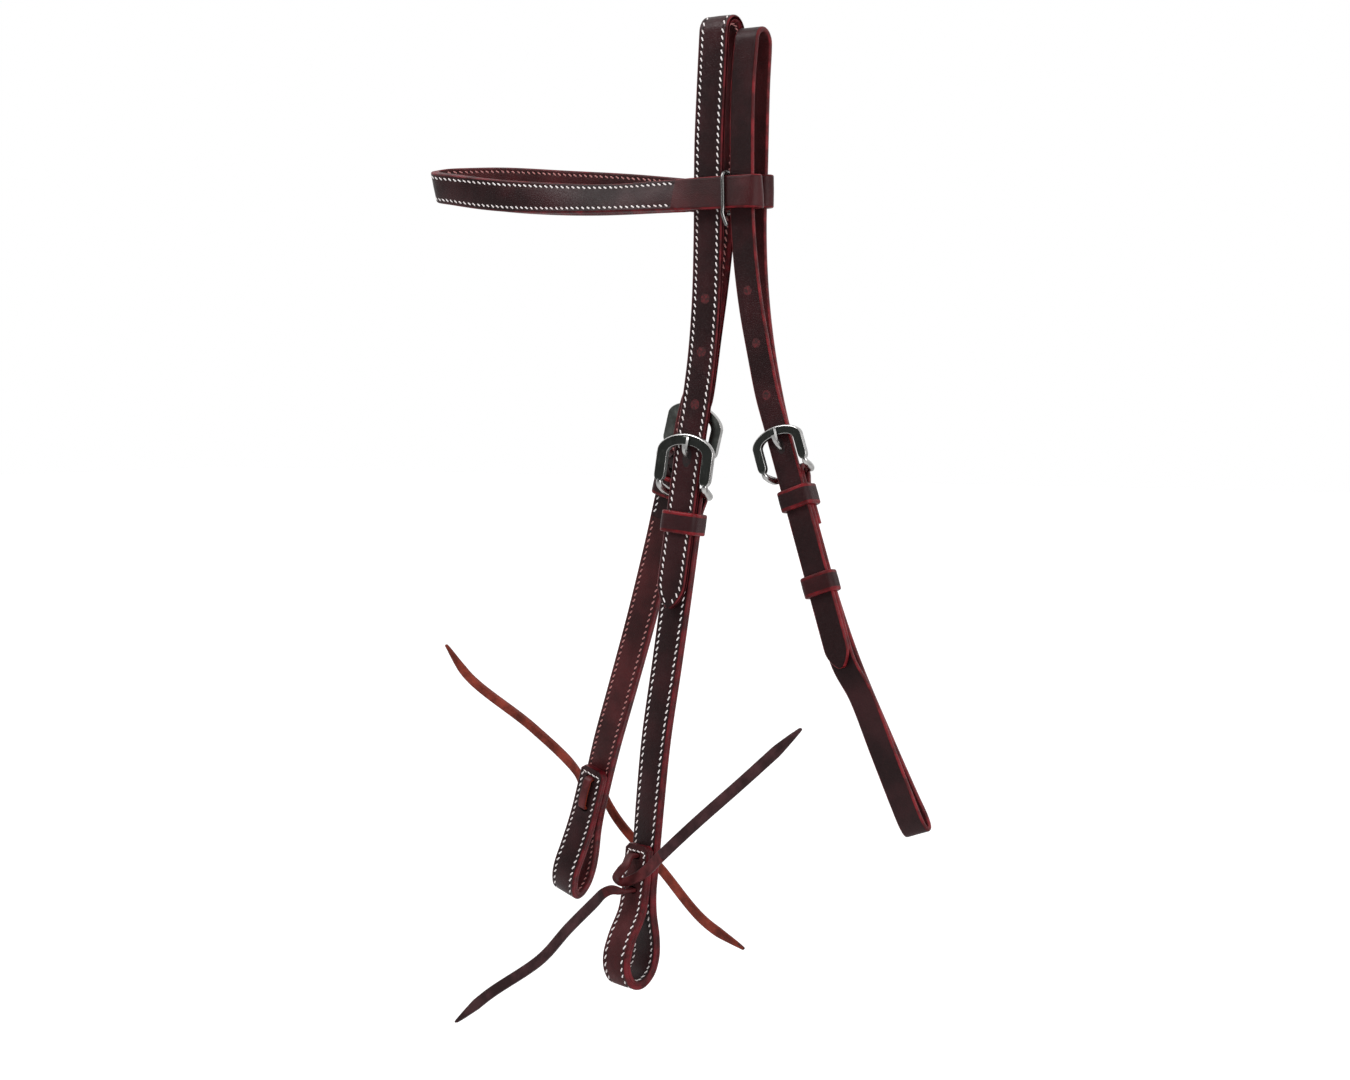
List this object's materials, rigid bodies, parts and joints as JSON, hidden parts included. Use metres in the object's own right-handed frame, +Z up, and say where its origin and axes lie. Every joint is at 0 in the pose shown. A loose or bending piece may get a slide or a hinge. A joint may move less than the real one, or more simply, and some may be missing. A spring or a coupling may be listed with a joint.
{
  "type": "western headstall",
  "caption": "Folded leather headstall hanging by its crown, with a split-loop browband, hinged buckles, laced bit loops and a throatlatch.",
  "frame": {"origin": "middle of the inner face of the crown strap at its highest point, where the headstall rests on a peg or on the poll", "axes": "+Z up, the horse faces -X, its near (left) side is -Y and its far side is +Y"},
  "size_m": [0.3178, 0.0916, 0.5004],
  "materials": {
    "strap_leather": "smooth dark burgundy grain, oiled",
    "lining_leather": "smooth red-brown",
    "keeper_leather": "smooth red-brown",
    "lace_leather": "matte latigo",
    "buckle_steel": "dark polished",
    "bright_steel": "bright polished"
  },
  "bodies": {
    "headstall": {"crown_outer": "strap_leather", "crown_lining": "lining_leather", "near_cheek_outer": "strap_leather", "near_cheek_lining": "lining_leather", "near_cheek_keeper": "strap_leather", "near_lace": "lace_leather", "far_cheek_outer": "strap_leather", "far_cheek_lining": "lining_leather", "far_cheek_keeper": "strap_leather", "far_lace": "lace_leather"},
    "near_buckle": {"near_cheek_buckle_frame": "buckle_steel"},
    "near_tongue": {"near_cheek_buckle_tongue": "bright_steel"},
    "far_buckle": {"far_cheek_buckle_frame": "buckle_steel"},
    "far_tongue": {"far_cheek_buckle_tongue": "bright_steel"},
    "browband": {"browband_outer": "strap_leather", "browband_lining": "lining_leather", "near_browband_divider": "bright_steel", "far_browband_divider": "bright_steel"},
    "throatlatch": {"throatlatch": "strap_leather", "throat_fixed_keeper": "strap_leather"},
    "throat_buckle": {"throat_buckle_frame": "buckle_steel"},
    "throat_tongue": {"throat_buckle_tongue": "bright_steel"},
    "throat_keeper": {"throat_sliding_keeper": "keeper_leather"}
  },
  "joints": [
    {"name": "near_buckle_hinge", "type": "hinge", "parent": "headstall", "child": "near_buckle", "pos_m": [-0.01034, -0.0111, -0.22553], "axis": [0.9956, -0.009, -0.0935], "range_deg": [0, 1.5]},
    {"name": "near_tongue_hinge", "type": "hinge", "parent": "near_buckle", "child": "near_tongue", "pos_m": [-0.01034, -0.0111, -0.22553], "axis": [0.9956, -0.009, -0.0935], "range_deg": [0, 1.5]},
    {"name": "far_buckle_hinge", "type": "hinge", "parent": "headstall", "child": "far_buckle", "pos_m": [-0.03098, 0.0073, -0.21016], "axis": [-0.9533, -0.0271, 0.3009], "range_deg": [0, 1.5]},
    {"name": "far_tongue_hinge", "type": "hinge", "parent": "far_buckle", "child": "far_tongue", "pos_m": [-0.03098, 0.0073, -0.21016], "axis": [-0.9533, -0.0271, 0.3009], "range_deg": [0, 1.5]},
    {"name": "browband_slide", "type": "slide", "parent": "headstall", "child": "browband", "axis": [0, 0, 1], "range_m": [-0.006, 0.006]},
    {"name": "throatlatch_slide", "type": "slide", "parent": "headstall", "child": "throatlatch", "axis": [0, 0, 1], "range_m": [0, 0.006]},
    {"name": "throat_buckle_hinge", "type": "hinge", "parent": "throatlatch", "child": "throat_buckle", "pos_m": [0.04564, -0.00761, -0.21492], "axis": [0.9404, 0.0252, 0.3391], "range_deg": [0, 1.5]},
    {"name": "throat_tongue_hinge", "type": "hinge", "parent": "throat_buckle", "child": "throat_tongue", "pos_m": [0.04564, -0.00761, -0.21492], "axis": [0.9404, 0.0252, 0.3391], "range_deg": [0, 1.5]},
    {"name": "throat_keeper_slide", "type": "slide", "parent": "throatlatch", "child": "throat_keeper", "axis": [0.34, -0.0696, -0.9378], "range_m": [-0.018, 0.026]}
  ]
}
